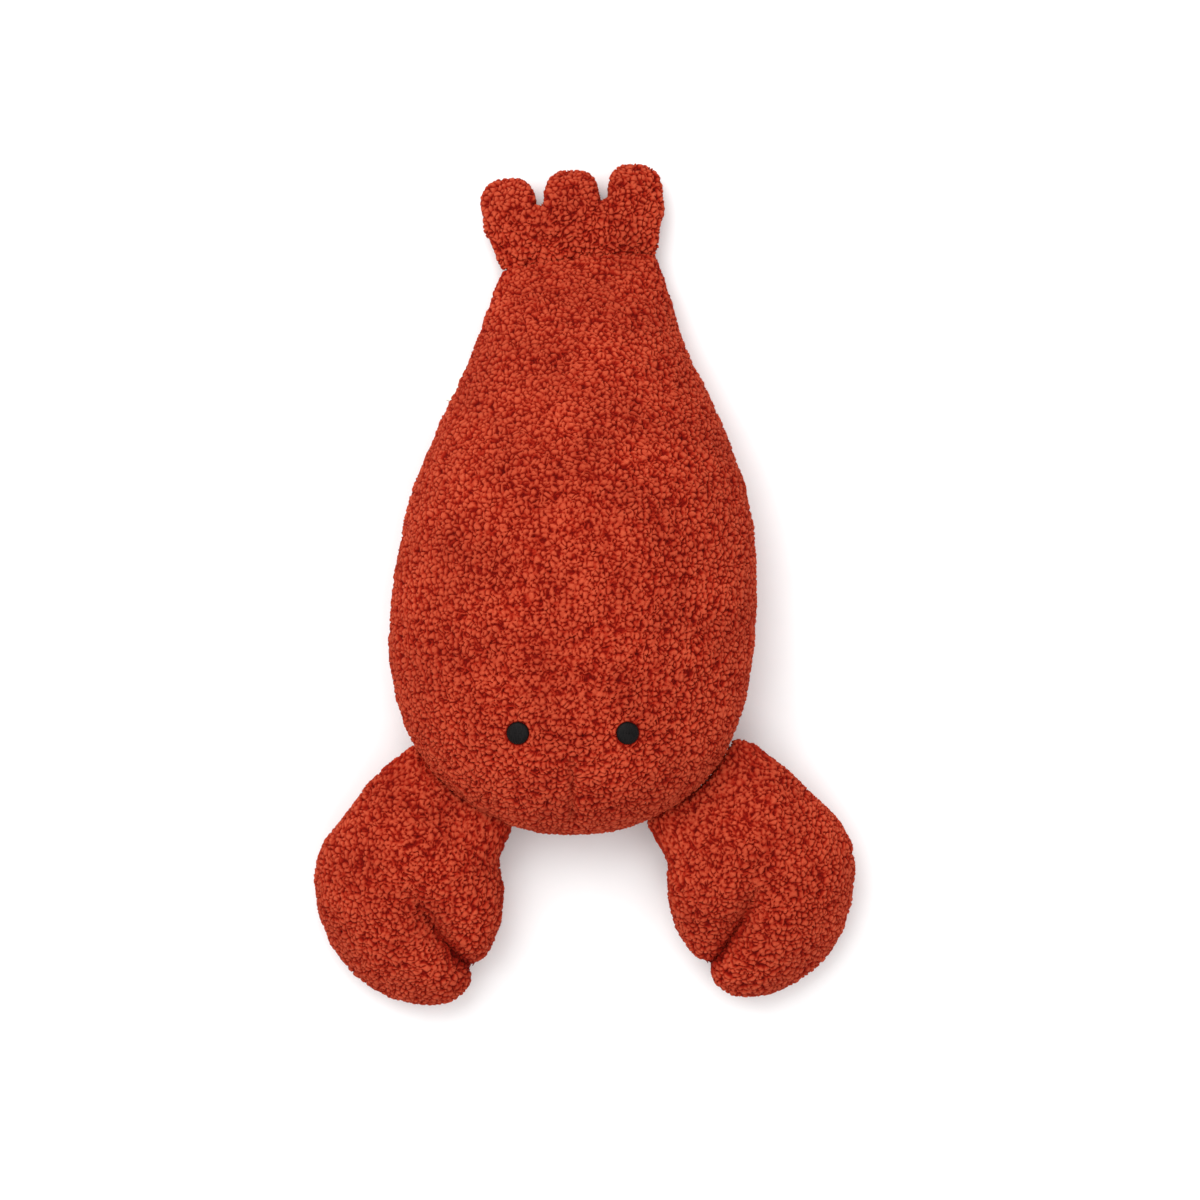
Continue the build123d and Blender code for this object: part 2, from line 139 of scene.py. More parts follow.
# ---- The dart on the snout ----
DART_FROM, DART_TO = -122 * MM, -88 * MM
DART_SOFT, DART_SOFTER = 4 * MM, 8 * MM  # the dart's ends fade over these lengths
DART_WIDTH, DART_DEPTH = 2.6 * MM, 3.6 * MM
FACES_UP = 0.6  # a normal's rise from which the dart has its full depth

# ---- The stuffing ----
STUFFING_VOXEL = 3.0 * MM
STUFFING_CELL, STUFFING_FINE_CELL = 7 * MM, 2.6 * MM
STUFFING_TUFTS = 0.7 * MM  # how rough its surface is
STUFFING_INSET = 2.6 * MM  # how far it keeps inside its CAD surface

# ---- The eyes ----
EYE_THREAD_PITCH = 0.55 * MM
EYE_RINGS, EYE_SPOKES = 30, 160
EYE_RAGGED = 0.035  # how much the threads' ends vary, as a share of the radius
EYE_REACH, EYE_SAFE = 0.97, 0.98  # each point takes its height from a little inside it, so the rim's do too
EYE_RIDGE = 0.16 * MM  # height of one thread
EYE_DOME, EYE_ROLL = 0.7 * MM, 0.9 * MM  # rise of the middle, and fall of the rim
EYE_LIFT = 0.2 * MM
EYE_THICKNESS = 2.0 * MM
EYE_PRESSED = 0.6 * MM  # how far the pile is pressed in under the eye
EYE_CLEAR_INSIDE, EYE_CLEAR_OUTSIDE = 0.6 * MM, 0.9 * MM
EYE_DEPTH = 6 * MM  # the pile is pressed in only this far below the eye, not on the underside

# ---- The label ----
LABEL_COLUMNS, LABEL_ROWS = 36, 48
LABEL_THICKNESS = 0.55 * MM
LABEL_TOP = 1.2 * MM  # the label's upper corners lie within this of its top
LABEL_CURL = 6.0 * MM  # how far the label's hem hangs in under the body
LABEL_CLEARANCE = 3.6 * MM  # how far the label stands off its seam, over the pile
LABEL_BEND = 0.2  # share of the drop over which it comes out from the seam
LABEL_WAVE = 0.5 * MM
LABEL_DROP = 0.96  # share of the CAD label's height that the curled label hangs

# ---- Camera and light ----
SENSOR = 36.0  # mm
CAMERA_HEIGHT = 2.0
VIEW_WIDTH = 0.6136  # seen across the frame, at the height of the toy's outline
SEAM_LEVEL = 0.035
VIEW_CENTRE = (0.0082, -0.0084)
FLOOR_SIZE = 12
WORLD_LIGHT = 0.75
LIGHTS = [
    ("key", (-0.7, 0.9, 1.8), 1.6, 26.0),
    ("top", (0.2, -0.1, 2.2), 2.0, 16.0),
]


# ---- Noise, for all points at once ----
generator = np.random.default_rng(SEED)
shuffled = generator.permutation(GRADIENTS)
directions = generator.normal(size=(GRADIENTS, 3))
directions /= np.linalg.norm(directions, axis=1)[:, None]


def direction_of(cell):
    """The random direction that belongs to each cell of a lattice."""
    wrapped = cell % GRADIENTS
    picked = shuffled[wrapped[:, 0]]
    picked = shuffled[(picked + wrapped[:, 1]) % GRADIENTS]
    picked = shuffled[(picked + wrapped[:, 2]) % GRADIENTS]
    return directions[picked]


def noise(points):
    """Smooth gradient noise from about -1 to 1, at points measured in cells."""
    corner = np.floor(points).astype(np.int64)
    part = points - corner
    fade = part**3 * (part * (part * 6 - 15) + 10)
    total = np.zeros(len(points))
    for step in np.ndindex(2, 2, 2):
        slope = np.einsum("ij,ij->i", direction_of(corner + step), part - step)
        share = np.where(step, fade, 1 - fade).prod(axis=1)
        total += share * slope
    return NOISE_GAIN * total


def smooth(low, high, value):
    """0 below low, 1 above high, with a smooth step between."""
    share = np.clip((value - low) / (high - low), 0, 1)
    return share * share * (3 - 2 * share)


def curls(points):
    """Distance to the nearest and the second nearest of the tufts' scattered middles, at points in cells."""
    corner = np.floor(points).astype(np.int64)
    nearest = np.full(len(points), np.inf)
    second = np.full(len(points), np.inf)
    for step in np.ndindex(3, 3, 3):
        cell = corner + np.array(step) - 1
        distance = np.linalg.norm(points - cell - 0.5 - CURL_SCATTER * direction_of(cell), axis=1)
        second = np.minimum(second, np.maximum(nearest, distance))
        nearest = np.minimum(nearest, distance)
    return nearest, second


def strands(points, normals):
    """0 to 1 across thin strands that wind over the surface, along the zero line of a noise field."""
    side = np.cross(normals, SKEW)
    side /= np.maximum(np.linalg.norm(side, axis=1), 1e-6)[:, None]
    other = np.cross(normals, side)
    place = points / STRAND_CELL + STRAND_SHIFT
    value = noise(place)
    slope = np.hypot(noise(place + PROBE * side) - value, noise(place + PROBE * other) - value) / PROBE
    distance = np.abs(value) / np.maximum(slope, STRAND_SLOPE) * STRAND_CELL
    return np.sqrt(np.maximum(0, 1 - (distance / STRAND_RADIUS) ** 2))


def curly_pile(points, normals):
    """Height of the pile over its middle at each point, and how far up the pile each point is, from 0 to 1.

    The pile is small round tufts with a narrow gap round each, and thin strands that wind over the tufts."""
    warp = np.stack([noise(points / WARP_CELL + shift) for shift in WARP_SHIFTS], axis=1)
    warped = points + WARP * warp
    nearest, second = curls(warped / CURL_CELL)
    tuft = np.sqrt(np.maximum(0, 1 - (nearest / TUFT_RADIUS) ** 2))
    gap = smooth(0.0, TUFT_GAP, second - nearest)
    strand = strands(warped, normals)
    rise = 0.5 + 0.5 * noise(points / STRAND_RISE_CELL + STRAND_RISE_SHIFT)
    up = tuft * (TUFT_BASE + (1 - TUFT_BASE) * gap)
    up = np.maximum(up, strand * (STRAND_LOW + STRAND_RISE * rise))
    up = np.clip(up + FUZZ * noise(points / FUZZ_CELL), 0, 1.1)
    clump = CLUMP_HEIGHT * noise(points / CLUMP_CELL + CLUMP_SHIFT)
    return PILE_HEIGHT * (up - PILE_MIDDLE) + clump, np.clip(up, 0, 1)


# ---- Materials ----
def srgb(red, green, blue):
    """A screen colour from 0 to 255 as linear RGBA."""
    values = [c / 255 for c in (red, green, blue)]
    return [c / 12.92 if c <= 0.04045 else ((c + 0.055) / 1.055) ** 2.4 for c in values] + [1.0]


class Shader:
    """A node material, built up one node at a time."""

    def __init__(self, name, roughness, sheen=0.0, sheen_tint=(1, 1, 1, 1)):
        self.material = bpy.data.materials.new(name)
        self.material.use_nodes = True
        self.nodes = self.material.node_tree.nodes
        self.links = self.material.node_tree.links
        self.surface = self.nodes["Principled BSDF"]
        self.surface.inputs["Roughness"].default_value = roughness
        self.surface.inputs["Sheen Weight"].default_value = sheen
        self.surface.inputs["Sheen Roughness"].default_value = 0.6
        self.surface.inputs["Sheen Tint"].default_value = sheen_tint
        self.surface.inputs["Specular IOR Level"].default_value = 0.1
        self.place = self.nodes.new("ShaderNodeTexCoord").outputs["Object"]

    def noise(self, scale, detail=3.0, stretch=None):
        node = self.nodes.new("ShaderNodeTexNoise")
        node.inputs["Scale"].default_value = scale
        node.inputs["Detail"].default_value = detail
        place = self.place
        if stretch:
            mapping = self.nodes.new("ShaderNodeMapping")
            mapping.inputs["Scale"].default_value = stretch
            self.links.new(place, mapping.inputs["Vector"])
            place = mapping.outputs["Vector"]
        self.links.new(place, node.inputs["Vector"])
        return node.outputs["Fac"]

    def wave(self, scale, way="X", distortion=0.6):
        node = self.nodes.new("ShaderNodeTexWave")
        node.bands_direction = way
        node.inputs["Scale"].default_value = scale
        node.inputs["Distortion"].default_value = distortion
        self.links.new(self.place, node.inputs["Vector"])
        return node.outputs["Fac"]

    def attribute(self, name):
        node = self.nodes.new("ShaderNodeAttribute")
        node.attribute_name = name
        return node.outputs["Fac"]

    def ramp(self, value, *stops):
        node = self.nodes.new("ShaderNodeValToRGB")
        band = node.color_ramp
        while len(band.elements) < len(stops):
            band.elements.new(0.5)
        for element, (at, colour) in zip(band.elements, stops):
            element.position = at
            element.color = colour
        self.links.new(value, node.inputs["Fac"])
        return node.outputs["Color"]

    def mix(self, share, first, second, blend="MIX"):
        node = self.nodes.new("ShaderNodeMix")
        node.data_type = "RGBA"
        node.blend_type = blend
        for value, socket in ((share, node.inputs[0]), (first, node.inputs[6]), (second, node.inputs[7])):
            if isinstance(value, bpy.types.NodeSocket):
                self.links.new(value, socket)
            else:
                socket.default_value = value
        return node.outputs[2]

    def spread(self, value, low, high):
        node = self.nodes.new("ShaderNodeMapRange")
        node.inputs["To Min"].default_value = low
        node.inputs["To Max"].default_value = high
        self.links.new(value, node.inputs["Value"])
        return node.outputs["Result"]

    def finish(self, colour, roughness=None, height=None, strength=0.4, depth=0.0003):
        self.links.new(colour, self.surface.inputs["Base Color"])
        if roughness:
            self.links.new(roughness, self.surface.inputs["Roughness"])
        if height:
            bump = self.nodes.new("ShaderNodeBump")
            bump.inputs["Strength"].default_value = strength
            bump.inputs["Distance"].default_value = depth
            self.links.new(height, bump.inputs["Height"])
            self.links.new(bump.outputs["Normal"], self.surface.inputs["Normal"])
        return self.material


def teddy_cloth():
    """Brick-red curly pile, with painted shade in the gaps between tufts, painted light on the tips, and
    slightly uneven dye.
    """
    shader = Shader("teddy_cloth", 0.9, sheen=0.05, sheen_tint=srgb(255, 130, 90))
    # the ramp paints shade into the gaps between the tufts and light onto their tips, by how far up the pile
    # each point is
    pile = shader.ramp(
        shader.attribute("pile_height"),
        (0.0, srgb(92, 3, 0)),
        (0.3, srgb(138, 13, 2)),
        (0.62, srgb(172, 38, 16)),
        (1.0, srgb(208, 86, 56)),
    )
    dye = shader.ramp(shader.noise(38.0), (0.3, srgb(222, 205, 200)), (0.7, srgb(255, 255, 255)))
    dyed = shader.mix(0.8, pile, dye, "MULTIPLY")
    fibre = shader.noise(2600.0, 2.0)
    tone = shader.ramp(fibre, (0.3, srgb(205, 190, 185)), (0.7, srgb(255, 255, 255)))
    colour = shader.mix(0.7, dyed, tone, "MULTIPLY")
    return shader.finish(colour, shader.spread(fibre, 0.82, 0.98), fibre, 0.6, 0.00035)


def eye_embroidery():
    """Black satin stitch, a little glossy along the threads."""
    shader = Shader("eye_embroidery", 0.55)
    thread = shader.noise(900.0, 2.0, stretch=(4.0, 0.35, 1.0))
    colour = shader.ramp(thread, (0.3, srgb(4, 3, 3)), (0.75, srgb(26, 22, 22)))
    return shader.finish(colour, shader.spread(thread, 0.35, 0.6), thread, 0.5, 0.0002)


def fibre_fill():
    """Loose white polyester fibre."""
    shader = Shader("fibre_fill", 0.85, sheen=0.3)
    strands = shader.noise(420.0, 6.0, stretch=(1.0, 0.3, 1.0))
    colour = shader.ramp(strands, (0.3, srgb(214, 211, 204)), (0.7, srgb(247, 245, 240)))
    return shader.finish(colour, shader.spread(strands, 0.75, 0.95), strands, 0.8, 0.001)


def sewing_thread():
    """Twisted dark red thread."""
    shader = Shader("sewing_thread", 0.6, sheen=0.1)
    twist = shader.wave(900.0, "DIAGONAL")
    colour = shader.ramp(twist, (0.2, srgb(82, 10, 6)), (0.8, srgb(136, 28, 18)))
    return shader.finish(colour, shader.spread(twist, 0.5, 0.7), twist, 0.6, 0.0002)


def felt_backing():
    """Stiff black felt."""
    shader = Shader("felt_backing", 0.95, sheen=0.25)
    fibre = shader.noise(1500.0, 5.0)
    colour = shader.ramp(fibre, (0.3, srgb(16, 16, 17)), (0.7, srgb(48, 47, 48)))
    return shader.finish(colour, shader.spread(fibre, 0.88, 1.0), fibre, 0.7, 0.0003)


def woven_label():
    """Plain white woven satin with no print."""
    shader = Shader("woven_label", 0.5, sheen=0.15)
    weave = shader.wave(700.0, "Z", 0.2)
    colour = shader.ramp(weave, (0.2, srgb(226, 222, 212)), (0.8, srgb(246, 243, 236)))
    return shader.finish(colour, shader.spread(weave, 0.4, 0.6), weave, 0.3, 0.0001)


# ---- Meshes ----
def piece_from(name, vertices, faces, material):
    """A new smooth-shaded piece."""
    mesh = bpy.data.meshes.new(name)
    mesh.from_pydata(vertices, [], faces)
    mesh.update()
    mesh.shade_smooth()
    mesh.materials.append(material)
    piece = bpy.data.objects.new(name, mesh)
    bpy.context.scene.collection.objects.link(piece)
    return piece


def arrays(mesh):
    """A mesh's points and their normals."""
    points, normals = np.empty(len(mesh.vertices) * 3), np.empty(len(mesh.vertices) * 3)
    mesh.vertices.foreach_get("co", points)
    mesh.vertex_normals.foreach_get("vector", normals)
    return points.reshape(-1, 3), normals.reshape(-1, 3)


def put(mesh, points):
    """Moves a mesh's points."""
    mesh.vertices.foreach_set("co", points.ravel())
    mesh.update()


def apply_modifiers(piece):
    """Leaves the piece as its modifiers make it, with no modifiers."""
    depsgraph = bpy.context.evaluated_depsgraph_get()
    mesh = bpy.data.meshes.new_from_object(piece.evaluated_get(depsgraph))
    piece.modifiers.clear()
    old, piece.data = piece.data, mesh
    bpy.data.meshes.remove(old)


def solid_form(bag, voxel):
    """The outer form of a bag, as one even mesh, from its CAD panels and stuffing."""
    joined = bmesh.new()
    for part in ("top_panel", "bottom_panel", "stuffing"):
        joined.from_mesh(NODES[f"{bag}_{part}"].data)
    mesh = bpy.data.meshes.new(f"{bag}_form")
    joined.to_mesh(mesh)
    joined.free()
    form = bpy.data.objects.new(f"{bag}_form", mesh)
    bpy.context.scene.collection.objects.link(form)
    remesh = form.modifiers.new("even", "REMESH")
    remesh.mode = "VOXEL"
    remesh.voxel_size = voxel
    apply_modifiers(form)
    keep_outer_skin(form.data)
    return form


def keep_outer_skin(mesh):
    """Leaves only the largest connected piece of a mesh."""
    skin = bmesh.new()
    skin.from_mesh(mesh)
    left = set(skin.verts)
    islands = []
    while left:
        island, queue = set(), [left.pop()]
        while queue:
            vertex = queue.pop()
            island.add(vertex)
            linked = {edge.other_vert(vertex) for edge in vertex.link_edges} & left
            left -= linked
            queue.extend(linked)
        islands.append(island)
    largest = max(islands, key=len)
    bmesh.ops.delete(skin, geom=[v for v in skin.verts if v not in largest], context="VERTS")
    skin.to_mesh(mesh)
    skin.free()


def fill(form, seam_height):
    """Cloth simulation with pressure inside, held at the seam and where the bag rests."""
    before, _ = arrays(form.data)
    lift = np.abs(before[:, 2] - seam_height(before))
    held = 1 - smooth(HELD_FROM, HELD_TO, lift)
    held[before[:, 2] < RESTS_UNDER] = 1.0
    group = form.vertex_groups.new(name="held")
    for index, weight in enumerate(held):
        if weight > 0.01:
            group.add([index], float(weight), "REPLACE")
    cloth = form.modifiers.new("cloth", "CLOTH")
    settings = cloth.settings
    settings.quality = 5
    settings.mass = 0.2
    settings.tension_stiffness = 12
    settings.compression_stiffness = 12
    settings.shear_stiffness = 4
    settings.bending_stiffness = 0.4
    settings.use_pressure = True
    settings.uniform_pressure_force = 4.0
    settings.vertex_group_mass = "held"
    settings.effector_weights.gravity = 0.0
    cloth.collision_settings.use_collision = False
    scene = bpy.context.scene
    for step in range(1, FILL_STEPS + 1):
        scene.frame_set(step)
    apply_modifiers(form)
    scene.frame_set(1)
    after, _ = arrays(form.data)
    moved = after - before
    length = np.linalg.norm(moved, axis=1)
    share = np.minimum(1.0, FILL_LIMIT / np.maximum(length, 1e-9))
    put(form.data, before + moved * share[:, None])


def subdivide(form, times):
    """Smooth subdivision."""
    modifier = form.modifiers.new("smooth", "SUBSURF")
    modifier.subdivision_type = "CATMULL_CLARK"
    modifier.levels = times
    apply_modifiers(form)


# ---- Where the seams are ----
def seam_height(bag):
    """A function that gives the height of a bag's seam over points, from the stitches that lie along it."""
    stitches, _ = arrays(NODES[f"{bag}_seam_thread"].data)
    if bag in JOINTS:
        terms = np.column_stack([np.ones(len(stitches)), stitches[:, :2]])
        level, slope_x, slope_y = np.linalg.lstsq(terms, stitches[:, 2], rcond=None)[0]
        return lambda points: level + slope_x * points[:, 0] + slope_y * points[:, 1]
    slices = np.linspace(stitches[:, 1].min(), stitches[:, 1].max(), SEAM_SLICES)
    half = slices[1] - slices[0]
    heights = [stitches[np.abs(stitches[:, 1] - y) <= half][:, 2].mean() for y in slices]
    return lambda points: np.interp(points[:, 1], slices, heights)


def way_out(bag):
    """The hinge's middle, and the level direction in which the bag leaves the body."""
    joint = JOINTS[bag]
    origin, axis = np.array(joint["pos_m"]), np.array(joint["axis"])
    return origin, np.cross([0, 0, 1], axis)


# ---- Details of the sewn form ----
def distance_to_route(points, route):
    """Level distance of each point to a route, and how far along the route the nearest place is, 0 to 1."""
    best = np.full(len(points), np.inf)
    along = np.zeros(len(points))
    count = len(route) - 1
    for index, (start, end) in enumerate(zip(route[:-1], route[1:])):
        run = end - start
        share = np.clip((points[:, :2] - start) @ run / (run @ run), 0, 1)
        distance = np.linalg.norm(points[:, :2] - start - share[:, None] * run, axis=1)
        nearer = distance < best
        best = np.where(nearer, distance, best)
        along = np.where(nearer, (index + share) / count, along)
    return best, along


def slit_route(bag):
    """The slit's line, seen from above."""
    origin, out = way_out(bag)
    along_seam = np.array(JOINTS[bag]["axis"]) * (1 if bag == "left_claw" else -1)
    return origin[:2] + SLIT @ np.array([along_seam[:2], out[:2]])


def press_slit(points, bag, seam, wider=0.0):
    """Pulls the claw in along the slit between finger and thumb, nearly down to its seam at the mouth.

    Points within wider of the slit's line are pulled in as far as those on it."""
    route = slit_route(bag)
    distance, along = distance_to_route(points, route)
    width = SLIT_WIDTH_MOUTH + (SLIT_WIDTH_END - SLIT_WIDTH_MOUTH) * along
    distance = np.maximum(0, distance - wider)
    pull = (SLIT_DEPTH - SLIT_RISE * along**1.5) * np.exp(-distance / width)
    height = seam(points)
    points[:, 2] = height + (points[:, 2] - height) * (1 - pull)
    inwards = (route[1] - route[0]) / np.linalg.norm(route[1] - route[0])
    notch = np.exp(-((distance / NOTCH_WIDTH) ** 2)) * (1 - smooth(0.0, NOTCH_FADES, along))
    points[:, :2] += inwards * (MOUTH_NOTCH * notch)[:, None]


def slit_shade_mask(points, bag):
    """1 in the depth of the slit, where shade is painted into the folded-in pile, and 0 away from it."""
    distance, along = distance_to_route(points, slit_route(bag))
    return np.exp(-((distance / SLIT_SHADE_WIDTH) ** 2)) * (1 - smooth(SLIT_SHADE_FADES, 1.0, along))


def reach_tail(points):
    """Draws the body's tail end out to the fan's root, square to its joining seam."""
    origin, out = way_out("tail_fan")
    share = smooth(-TAIL_LENGTH, 0.0, (points - origin) @ out)
    across = np.array(JOINTS["tail_fan"]["axis"])
    points += out * (TAIL_REACH * share)[:, None]
    points += across * (TAIL_WIDEN * share * ((points - origin) @ across))[:, None]


def press_dart(points, normals):
    """Sinks the dart that is stitched down the middle of the snout."""
    low, high = (np.array(corner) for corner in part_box("snout_dart_thread"))
    middle = (low[0] + high[0]) / 2
    across = np.exp(-(((points[:, 0] - middle) / DART_WIDTH) ** 2))
    begun = smooth(DART_FROM - DART_SOFT, DART_FROM + DART_SOFT, points[:, 1])
    ended = smooth(DART_TO - DART_SOFTER, DART_TO + DART_SOFT, points[:, 1])
    above = smooth(0.0, FACES_UP, normals[:, 2])
    points -= normals * (DART_DEPTH * across * begun * (1 - ended) * above)[:, None]


def reach_root(points, bag):
    """Draws a bag's root in under the pile of the body, where the joining seam holds it."""
    origin, out = way_out(bag)
    distance = (points - origin) @ out
    share = 1 - smooth(ROOT_FROM, ROOT_LENGTH, distance)
    reach = ROOT_REACH
    if "claw" in bag:
        across = (points - origin) @ np.array(JOINTS[bag]["axis"])
        reach = ROOT_REACH + ROOT_END_REACH * (across / CLAW_ROOT_HALF) ** 2
    points -= out * (reach * share)[:, None]


def eye_clearance(points):
    """0 under the eyes' embroidery, where the pile is sewn flat, and 1 away from them."""
    clear = np.ones(len(points))
    for side in ("left", "right"):
        low, high = (np.array(corner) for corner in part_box(f"{side}_eye"))
        middle, radius = (low + high) / 2, (high - low)[0] / 2
        distance = np.linalg.norm(points[:, :2] - middle[:2], axis=1)
        near = points[:, 2] > low[2] - EYE_DEPTH
        away = smooth(radius - EYE_CLEAR_INSIDE, radius + EYE_CLEAR_OUTSIDE, distance)
        clear = np.where(near, np.minimum(clear, away), clear)
    return clear


# ---- The four bags ----
def make_bag(bag, material):
    """The filled bag with its pile, as a top and a bottom panel."""
    voxel, times = BAGS[bag]
    seam = seam_height(bag)
    form = solid_form(bag, voxel)
    fill(form, seam)
    subdivide(form, times)
    mesh = form.data
    points, normals = arrays(mesh)
    if bag == "body":
        press_dart(points, normals)
        reach_tail(points)
    else:
        if "claw" in bag:
            press_slit(points, bag, seam)
        reach_root(points, bag)
    put(mesh, points)
    points, normals = arrays(mesh)

    over_seam = points[:, 2] - seam(points)
    upright = np.sqrt(1 - np.abs(normals[:, 2]))
    near_seam = np.exp(-((over_seam / SEAM_GROOVE_WIDTH) ** 2)) * upright
    height, up = curly_pile(points, normals)
    if bag == "body":
        clear = eye_clearance(points)
        height = height * clear - EYE_PRESSED * (1 - clear)
        # where the pile is pressed in round the eyes, its colour goes to the ramp's darkest painted shade
        up = up * clear
    if "claw" in bag:
        # painted shade in the depth of the slit
        up = up * (1 - SLIT_PAINTED_SHADE * slit_shade_mask(points, bag))
    height = height * (1 - SEAM_PILE_LOSS * near_seam) - SEAM_GROOVE * near_seam
    points = points + normals * height[:, None]
    points[:, 2] = np.maximum(points[:, 2], ON_TABLE)
    # painted shade along the seam's groove
    up = up * (1 - SEAM_PAINTED_SHADE * near_seam)

    corners = np.empty(len(mesh.loops), dtype=np.int64)
    mesh.loops.foreach_get("vertex_index", corners)
    faces = corners.reshape(-1, 4)
    top = over_seam[faces].mean(axis=1) >= 0
    for part, chosen in (("top_panel", faces[top]), ("bottom_panel", faces[~top])):
        used, renumbered = np.unique(chosen, return_inverse=True)
        piece = piece_from(f"{bag}_{part}_cloth", points[used], renumbered.reshape(-1, 4), material)
        # how far up the pile each point is, lowered at the seam and in the slit; the cloth's ramp turns it
        # into painted shade and painted light
        pile = piece.data.attributes.new("pile_height", "FLOAT", "POINT")
        pile.data.foreach_set("value", up[used].astype(np.float32))
        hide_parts(f"{bag}_{part}")
        if bag in JOINTS:
            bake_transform(piece)
        else:
            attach(piece, "body")
    bpy.data.objects.remove(form)


def make_stuffing(bag, material):
    """Loose-surfaced fibre fill, a little smaller than the inside of the cloth."""
    name = f"{bag}_stuffing"
    mesh = bpy.data.meshes.new(name)
    source = bmesh.new()
    source.from_mesh(NODES[name].data)
    source.to_mesh(mesh)
    source.free()
    piece = bpy.data.objects.new(f"{bag}_fibre_fill", mesh)
    bpy.context.scene.collection.objects.link(piece)
    remesh = piece.modifiers.new("even", "REMESH")
    remesh.mode = "VOXEL"
    remesh.voxel_size = STUFFING_VOXEL
    apply_modifiers(piece)
    subdivide(piece, 1)
    points, normals = arrays(piece.data)
    tufts = noise(points / STUFFING_CELL) + 0.5 * noise(points / STUFFING_FINE_CELL)
    points = points + normals * (tufts * STUFFING_TUFTS - STUFFING_INSET)[:, None]
    if "claw" in bag:
        press_slit(points, bag, seam_height(bag), wider=STUFFING_CLEARANCE)
    put(piece.data, points)
    piece.data.shade_smooth()
    piece.data.materials.clear()
    piece.data.materials.append(material)
    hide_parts(name)
    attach(piece, bag)


def make_eye(side, material):
    """A round of satin stitch: a low dome of parallel threads, closed underneath, in the cloth."""
    node = f"{side}_eye"
    low, high = (np.array(corner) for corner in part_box(node))
    middle, radius = (low + high) / 2, (high - low)[0] / 2
    surface = bmesh.new()
    surface.from_mesh(NODES[node].data)
    tree = BVHTree.FromBMesh(surface)
    surface.free()
    vertices, faces = [], []
    for ring in range(1, EYE_RINGS + 1):
        share = ring / EYE_RINGS
        for spoke in range(EYE_SPOKES):
            angle = 2 * pi * spoke / EYE_SPOKES
            thread = middle[1] + radius * share * sin(angle)
            ragged = 1 + EYE_RAGGED * sin(2 * pi * thread / EYE_THREAD_PITCH) * share**6
            offset = Vector((cos(angle), sin(angle), 0)) * radius * share
            above = Vector((middle[0], middle[1], 1)) + offset * EYE_SAFE * min(ragged, EYE_REACH)
            hit = tree.ray_cast(above, Vector((0, 0, -1)))[0]
            height = hit.z if hit else high[2]
            ridge = EYE_RIDGE * abs(sin(pi * thread / EYE_THREAD_PITCH))
            dome = EYE_DOME * (1 - share**2) - EYE_ROLL * share**10
            x, y = middle[0] + offset.x * ragged, middle[1] + offset.y * ragged
            vertices.append((x, y, height + dome + ridge + EYE_LIFT))
    for ring in range(EYE_RINGS - 1):
        inner, outer = ring * EYE_SPOKES, (ring + 1) * EYE_SPOKES
        for spoke in range(EYE_SPOKES):
            after = (spoke + 1) % EYE_SPOKES
            faces.append((inner + spoke, outer + spoke, outer + after, inner + after))
    vertices.append(tuple(np.mean(vertices[:EYE_SPOKES], axis=0)))
    faces += [(spoke, (spoke + 1) % EYE_SPOKES, len(vertices) - 1) for spoke in range(EYE_SPOKES)]
    rim = (EYE_RINGS - 1) * EYE_SPOKES
    underside = len(vertices)
    vertices += [(x, y, z - EYE_THICKNESS) for x, y, z in vertices[rim:rim + EYE_SPOKES]]
    for spoke in range(EYE_SPOKES):
        after = (spoke + 1) % EYE_SPOKES
        faces.append((rim + after, rim + spoke, underside + spoke, underside + after))
    faces.append(tuple(underside + spoke for spoke in range(EYE_SPOKES)))
    piece = piece_from(f"{side}_eye_embroidery", vertices, faces, material)
    fix = bmesh.new()
    fix.from_mesh(piece.data)
    bmesh.ops.recalc_face_normals(fix, faces=fix.faces)
    fix.to_mesh(piece.data)
    fix.free()
    piece.data.shade_smooth()
    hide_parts(node)
    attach(piece, "body")


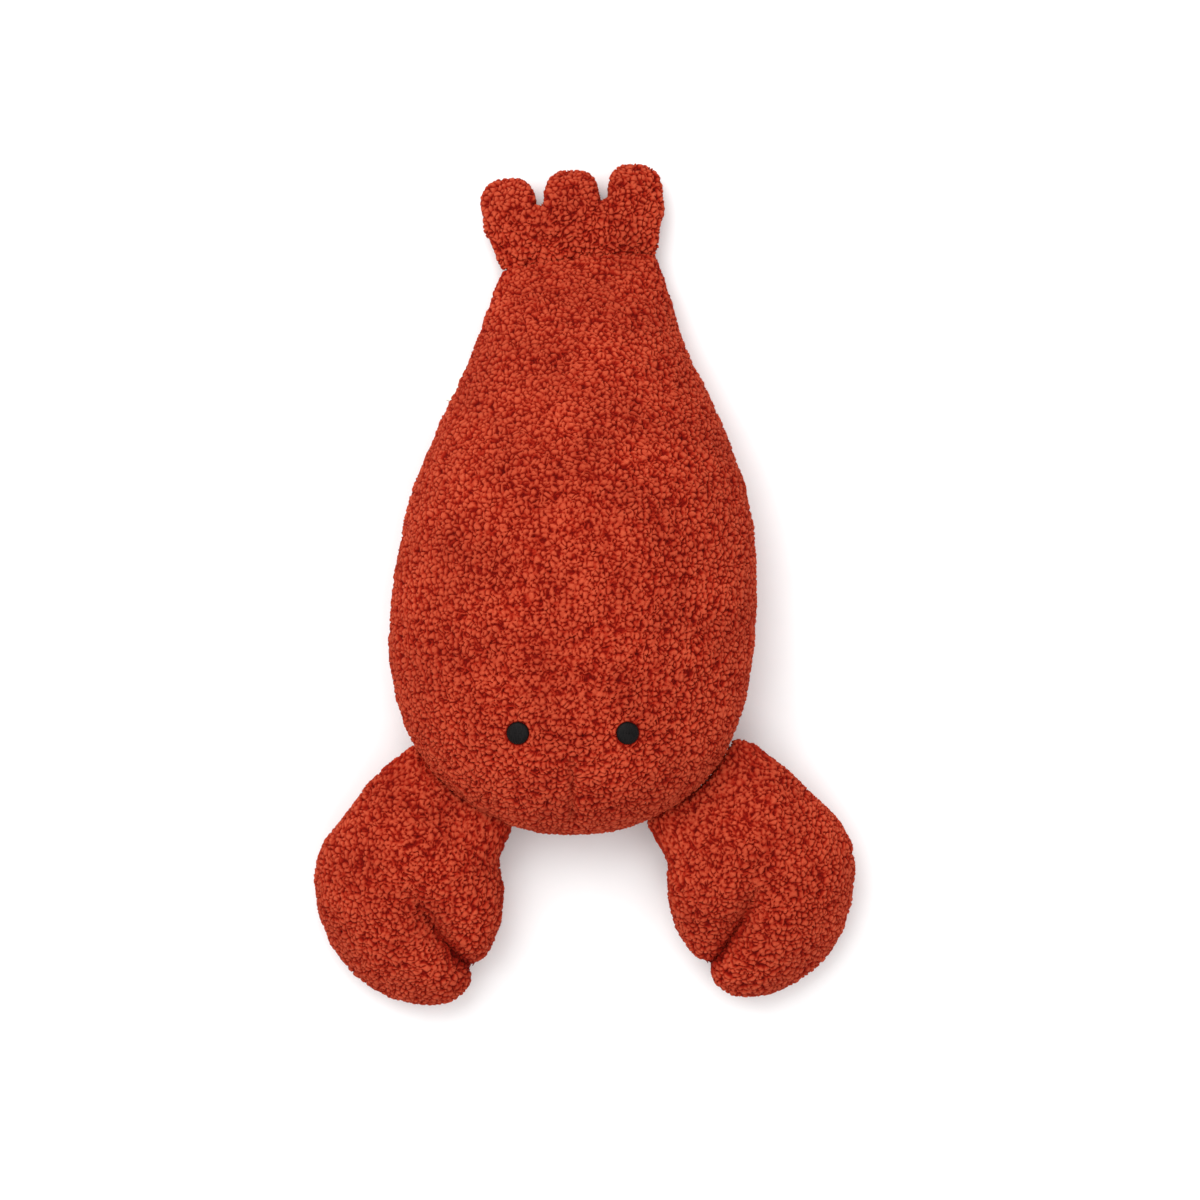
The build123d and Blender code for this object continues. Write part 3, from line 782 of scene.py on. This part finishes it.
def make_label(material):
    """A blank ribbon label that hangs from the seam, stands off the pile and curls in under the body."""
    low, high = (np.array(corner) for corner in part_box("care_label"))
    corners, _ = arrays(NODES["care_label"].data)
    upper = corners[corners[:, 2] > high[2] - LABEL_TOP]
    start = upper[np.argmin(upper[:, 1])]
    end = upper[np.argmax(upper[:, 1])]
    across = end - start
    drop = high[2] - low[2]
    inward = np.array([across[1], -across[0], 0])
    inward *= np.sign(-start[0] * inward[0]) / np.linalg.norm(inward)
    vertices = []
    for depth in (0.0, LABEL_THICKNESS):
        for row in range(LABEL_ROWS + 1):
            share = row / LABEL_ROWS
            fold = LABEL_CURL * share**2 - LABEL_CLEARANCE * smooth(0.0, LABEL_BEND, share)
            for column in range(LABEL_COLUMNS + 1):
                part = column / LABEL_COLUMNS
                wave = LABEL_WAVE * sin(5 * part + 3 * share) * share
                place = start + across * part + inward * (fold + wave + depth)
                place[2] = high[2] - drop * LABEL_DROP * share
                vertices.append(tuple(place))
    wide = LABEL_COLUMNS + 1
    layer = wide * (LABEL_ROWS + 1)
    faces = []
    for row in range(LABEL_ROWS):
        for column in range(LABEL_COLUMNS):
            a = row * wide + column
            faces.append((a, a + 1, a + wide + 1, a + wide))
            faces.append((layer + a, layer + a + wide, layer + a + wide + 1, layer + a + 1))
    rim = list(range(LABEL_COLUMNS))
    rim += [row * wide + LABEL_COLUMNS for row in range(LABEL_ROWS)]
    rim += [LABEL_ROWS * wide + LABEL_COLUMNS - column for column in range(LABEL_COLUMNS)]
    rim += [(LABEL_ROWS - row) * wide for row in range(LABEL_ROWS)]
    for here, there in zip(rim, rim[1:] + rim[:1]):
        faces.append((there, here, layer + here, layer + there))
    piece = piece_from("blank_care_label", vertices, faces, material)
    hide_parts("care_label")
    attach(piece, "body")


def dress(node, material):
    """Gives a CAD node that keeps its shape its detailed material."""
    for slot in NODES[node].material_slots:
        slot.material = material


cloth = teddy_cloth()
fill_material, thread_material = fibre_fill(), sewing_thread()
felt, embroidery = felt_backing(), eye_embroidery()
for bag in BAGS:
    make_bag(bag, cloth)
    make_stuffing(bag, fill_material)
for side in ("left", "right"):
    make_eye(side, embroidery)
    dress(f"{side}_eye_backing", felt)
make_label(woven_label())
for node in NODES:
    if "thread" in node or "stitches" in node:
        dress(node, thread_material)


# ---- Floor, light and camera ----
def studio():
    """A pale floor under a soft even light, with the camera straight above."""
    bpy.ops.mesh.primitive_plane_add(size=FLOOR_SIZE)
    floor = bpy.context.object
    floor.name = "floor"
    shader = Shader("pale_floor", 0.9)
    grain = shader.noise(60.0)
    colour = shader.ramp(grain, (0.0, srgb(250, 250, 250)), (1.0, srgb(255, 255, 255)))
    floor.data.materials.append(shader.finish(colour))

    world = bpy.data.worlds.new("studio")
    world.use_nodes = True
    world.node_tree.nodes["Background"].inputs["Color"].default_value = (1, 1, 1, 1)
    world.node_tree.nodes["Background"].inputs["Strength"].default_value = WORLD_LIGHT
    bpy.context.scene.world = world
    for name, place, size, power in LIGHTS:
        lamp = bpy.data.lights.new(name, "AREA")
        lamp.size, lamp.energy = size, power
        light = bpy.data.objects.new(name, lamp)
        light.location = place
        light.rotation_euler = (-Vector(place)).to_track_quat("-Z", "Y").to_euler()
        bpy.context.scene.collection.objects.link(light)

    camera = bpy.data.cameras.new("camera")
    camera.sensor_width = SENSOR
    camera.lens = SENSOR * (CAMERA_HEIGHT - SEAM_LEVEL) / VIEW_WIDTH
    eye = bpy.data.objects.new("camera", camera)
    eye.location = (*VIEW_CENTRE, CAMERA_HEIGHT)
    bpy.context.scene.collection.objects.link(eye)
    bpy.context.scene.camera = eye
    bpy.context.scene.view_settings.view_transform = "Standard"


studio()
